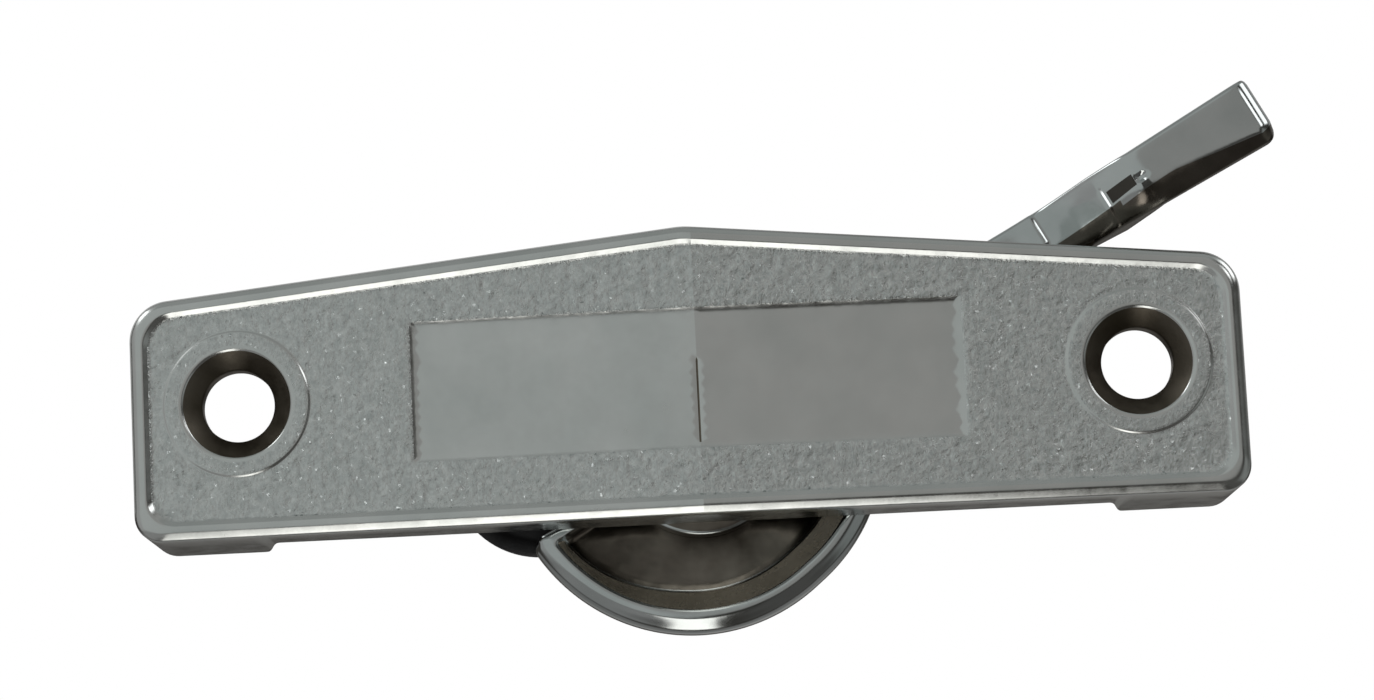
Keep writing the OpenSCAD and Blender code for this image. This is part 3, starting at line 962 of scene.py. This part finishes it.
def side_finishes_and_shade(r, count):
    """Finish of each side of the lever's section: painted shade on the lower flank and a darker
    painted shade on the facet.
    """
    finish = [0] * count
    start = 0 if r < FACET_FROM + 0.4 else 1
    finish[FLANK_AT + start:FLANK_AT + FLANK_SIDES] = [1] * (FLANK_SIDES - start)
    if FACET_FROM < r < FACET_TO:
        finish[FACET_AT:FACET_AT + FACET_SIDES] = [2] * FACET_SIDES
    return finish


def make_lever():
    shell = Shell()
    ends = [LEVER_R - d for d in (1.25, 1.0, 0.8, 0.62, 0.46, 0.32, 0.2, 0.1, 0.03, 0.0)]
    stations = list(np.arange(4.6, 24.9, 1.5)) + list(np.arange(25.0, 34.5, 0.15))
    stations += list(np.arange(34.6, 40.9, 0.6)) + ends
    c, s = math.cos(math.radians(LEVER_A)), math.sin(math.radians(LEVER_A))
    rows = []
    for r in stations:
        section = np.array(lever_section(r), float)
        xy = np.stack([r * c - section[:, 0] * s, r * s + section[:, 0] * c], 1)
        rows.append(shell.loop(xy, section[:, 1]))
    for a, b, r in zip(rows, rows[1:], stations):
        shell.skin(a, b, side_finishes_and_shade(r, len(a)))
    shell.cap(rows[0])
    shell.cap(rows[-1])
    top = LEVER_LOW + LEVER_T
    # Slot 1 paints shade on the hub's outer wall and on its top face.
    hub = [
        (HUB_HOLE_R, LEVER_LOW, 0), (HUB_R - 0.1, LEVER_LOW, 0), (HUB_R, LEVER_LOW + 0.1, 1),
        (HUB_R, top - 0.22, 0), (HUB_R - 0.07, top - 0.07, 0), (HUB_R - 0.22, top, 1),
        (HUB_HOLE_R + 0.1, top, 0), (HUB_HOLE_R, top - 0.1, 0),
    ]
    shell.turn(0, 0, hub, 72)
    return shell.build("lever_cast", [BRIGHT, DISH_SHADE, SHADE], 26)


lever = make_lever()
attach(lever, "rotor")
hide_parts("lever")


# ---------------------------------------------------------------- support pad
PAD_HOLE_R = 1.27


def make_pad():
    shell = Shell()
    cx, cy = (pad_lo[0] + pad_hi[0]) / 2, (pad_lo[1] + pad_hi[1]) / 2
    r = (pad_hi[0] - pad_lo[0]) / 2
    low, top = pad_lo[2], pad_hi[2]
    profile = [
        (PAD_HOLE_R, low), (r - 0.08, low), (r, low + 0.08), (r, top - 0.25),
        (r - 0.07, top - 0.08), (r - 0.25, top), (r - 0.9, top), (r - 1.0, top - 0.05),
        (r - 1.3, top - 0.05), (r - 1.4, top), (2.2, top), (2.1, top - 0.05),
        (PAD_HOLE_R, top - 0.37),
    ]
    shell.turn(cx, cy, [(radius, z, 0) for radius, z in profile], 80)
    return shell.build("support_pad_moulded", [BLACK_NYLON], 50)


pad = make_pad()
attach(pad, "housing_body")
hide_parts("support_pad")


# ---------------------------------------------------------------- CAD nodes that stay
for name, material in (
    ("back_plate", STRAP), ("back_plate_rivets", STEEL), ("pivot_stud", STEEL),
    ("pad_rivet", STEEL), ("hub_washer", STEEL), ("spring_washer", SPRING),
    ("thrust_washer", WHITE_NYLON), ("pivot_bush", WHITE_NYLON),
):
    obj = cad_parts[name]
    for slot in obj.material_slots:
        slot.material = material


# ---------------------------------------------------------------- light
ROOM_LIGHT = (0.045, 0.042, 0.038)
COOL, NEUTRAL, WARM = (0.95, 1.0, 0.985), (1.0, 1.0, 1.0), (1.0, 0.975, 0.93)
# Panels of the studio: strength, tint, softness and limits on the direction's parts
PANELS = [
    (0.385, COOL, 0.07, {"x": (-0.85, 0.0), "y": (-1.2, 0.1), "z": (-0.5, 0.75)}),
    (0.27, (1.0, 0.99, 0.965), 0.07, {"x": (0.0, 0.5), "y": (-1.2, -0.2), "z": (-0.3, 0.75)}),
    (0.27, COOL, 0.12, {"y": (-0.8, 0.35), "z": (0.75, 1.2)}),
    (1.75, WARM, 0.04, {"x": (-0.17, 0.10), "y": (-0.78, 0.5), "z": (-1.2, -0.58)}),
    (0.22, NEUTRAL, 0.12, {"x": (-0.9, -0.2), "y": (-0.9, 0.4), "z": (-0.95, -0.5)}),
    (0.04, NEUTRAL, 0.10, {"x": (0.25, 0.75), "y": (-0.9, 0.4), "z": (-0.95, -0.4)}),
    (0.2, COOL, 0.10, {"x": (0.72, 1.0), "y": (-0.9, 0.4), "z": (-0.6, 0.1)}),
    (2.2, NEUTRAL, 0.05, {"x": (-0.8, -0.6), "y": (-0.3, 0.25), "z": (0.58, 0.82)}),
    (1.8, NEUTRAL, 0.06, {"x": (0.62, 0.97), "y": (-0.26, 0.3), "z": (0.4, 0.78)}),
    (2.2, NEUTRAL, 0.05, {"x": (0.56, 0.76), "y": (-0.75, -0.5), "z": (0.36, 0.54)}),
    (0.07, WARM, 0.06, {"x": (-0.4, 0.0), "y": (0.7, 1.2), "z": (-0.5, -0.05)}),
    (0.11, WARM, 0.06, {"x": (0.0, 0.4), "y": (0.7, 1.2), "z": (-0.5, -0.05)}),
    (0.30, NEUTRAL, 0.08, {"x": (-1.2, -0.85), "y": (-0.6, 0.2), "z": (-0.5, 0.6)}),
    (0.16, NEUTRAL, 0.06, {"x": (-0.7, 0.7), "y": (0.5, 1.2), "z": (-0.75, -0.24)}),
    (0.45, NEUTRAL, 0.12, {"x": (-1.2, 0.1), "y": (0.45, 1.2), "z": (0.1, 1.2)}),
    (0.30, NEUTRAL, 0.12, {"x": (0.2, 1.2), "y": (0.45, 1.2), "z": (0.1, 1.2)}),
]


def vector_math(tree, operation):
    node = tree.nodes.new("ShaderNodeVectorMath")
    node.operation = operation
    return node


def soft_step(tree, value, low, high):
    """From 0 to 1 as a value goes from low to high."""
    node = tree.nodes.new("ShaderNodeMapRange")
    node.interpolation_type = "SMOOTHSTEP"
    node.inputs["From Min"].default_value = low
    node.inputs["From Max"].default_value = high
    tree.links.new(value, node.inputs["Value"])
    return node.outputs["Result"]


def times(tree, a, b):
    node = tree.nodes.new("ShaderNodeMath")
    node.operation = "MULTIPLY"
    tree.links.new(a, node.inputs[0])
    tree.links.new(b, node.inputs[1])
    return node.outputs[0]


def light_panel(tree, axes, strength, tint, soft, limits):
    """Soft box of light between limits on the parts of the direction, x, y and z."""
    value = None
    for index, axis in enumerate("xyz"):
        if axis not in limits:
            continue
        low, high = limits[axis]
        side = axes.outputs[index]
        window = times(tree, soft_step(tree, side, low - soft, low + soft),
                       soft_step(tree, side, high + soft, high - soft))
        value = window if value is None else times(tree, value, window)
    scale = vector_math(tree, "SCALE")
    scale.inputs[0].default_value = [c * strength for c in tint]
    tree.links.new(value, scale.inputs["Scale"])
    return scale.outputs[0]


def studio_light(tree):
    """Sum of the room's light and all the panels, by direction."""
    coord = tree.nodes.new("ShaderNodeTexCoord")
    axes = tree.nodes.new("ShaderNodeSeparateXYZ")
    tree.links.new(coord.outputs["Generated"], axes.inputs[0])
    total = None
    for row in PANELS:
        add = vector_math(tree, "ADD")
        tree.links.new(light_panel(tree, axes, *row), add.inputs[0])
        if total is None:
            add.inputs[1].default_value = ROOM_LIGHT
        else:
            tree.links.new(total, add.inputs[1])
        total = add.outputs[0]
    return total


def make_world():
    """White behind the lock, and a soft studio of large panels for it to reflect."""
    world = bpy.data.worlds.new("studio")
    bpy.context.scene.world = world
    world.use_nodes = True
    tree = world.node_tree
    tree.nodes.clear()
    out = tree.nodes.new("ShaderNodeOutputWorld")
    path = tree.nodes.new("ShaderNodeLightPath")
    mix = tree.nodes.new("ShaderNodeMixShader")
    seen = tree.nodes.new("ShaderNodeBackground")
    seen.inputs[0].default_value = (1, 1, 1, 1)
    room = tree.nodes.new("ShaderNodeBackground")
    tree.links.new(studio_light(tree), room.inputs[0])
    tree.links.new(path.outputs["Is Camera Ray"], mix.inputs[0])
    tree.links.new(room.outputs[0], mix.inputs[1])
    tree.links.new(seen.outputs[0], mix.inputs[2])
    tree.links.new(mix.outputs[0], out.inputs[0])


make_world()


def make_floor():
    """Pale floor, well below the lock."""
    mesh = bpy.data.meshes.new("floor")
    w, z = 3.0, -0.3
    mesh.from_pydata([(-w, -w, z), (w, -w, z), (w, w, z), (-w, w, z)], [], [(0, 1, 2, 3)])
    mat, tree, bsdf = new_material("floor_paint")
    coord = millimetres(tree)
    cloud = noise(tree, coord, 60.0, 3)
    tree.links.new(
        mix_colour(tree, cloud, (0.86, 0.86, 0.86), (0.9, 0.9, 0.9)), bsdf.inputs["Base Color"]
    )
    bsdf.inputs["Roughness"].default_value = 0.7
    bsdf.inputs["Emission Color"].default_value = (1, 1, 1, 1)
    bsdf.inputs["Emission Strength"].default_value = 0.33
    mesh.materials.append(mat)
    floor = bpy.data.objects.new("floor", mesh)
    bpy.context.scene.collection.objects.link(floor)
    floor.visible_glossy = False


make_floor()


# ---------------------------------------------------------------- camera
def make_camera():
    """Long lens straight in front of the plate, a little below it and rolled slightly."""
    azimuth, elevation, roll = math.radians(0.27), math.radians(-8.41), math.radians(2.79)
    distance, lens = 258.4, 107.0
    target = Vector((-0.57, -9.91, 5.67))
    ahead = Vector((math.sin(azimuth) * math.cos(elevation),
                    math.cos(azimuth) * math.cos(elevation), -math.sin(elevation)))
    right = ahead.cross(Vector((0, 0, 1))).normalized()
    up = right.cross(ahead)
    c, s = math.cos(roll), math.sin(roll)
    right, up = right * c - up * s, right * s + up * c
    data = bpy.data.cameras.new("camera")
    data.lens = lens
    data.sensor_width = 36.0
    data.clip_start = 0.01
    camera = bpy.data.objects.new("camera", data)
    turn = Matrix((right, up, -ahead)).transposed().to_4x4()
    camera.matrix_world = Matrix.Translation((target - ahead * distance) * MM) @ turn
    bpy.context.scene.collection.objects.link(camera)
    bpy.context.scene.camera = camera


make_camera()
bpy.context.scene.view_settings.view_transform = "Standard"
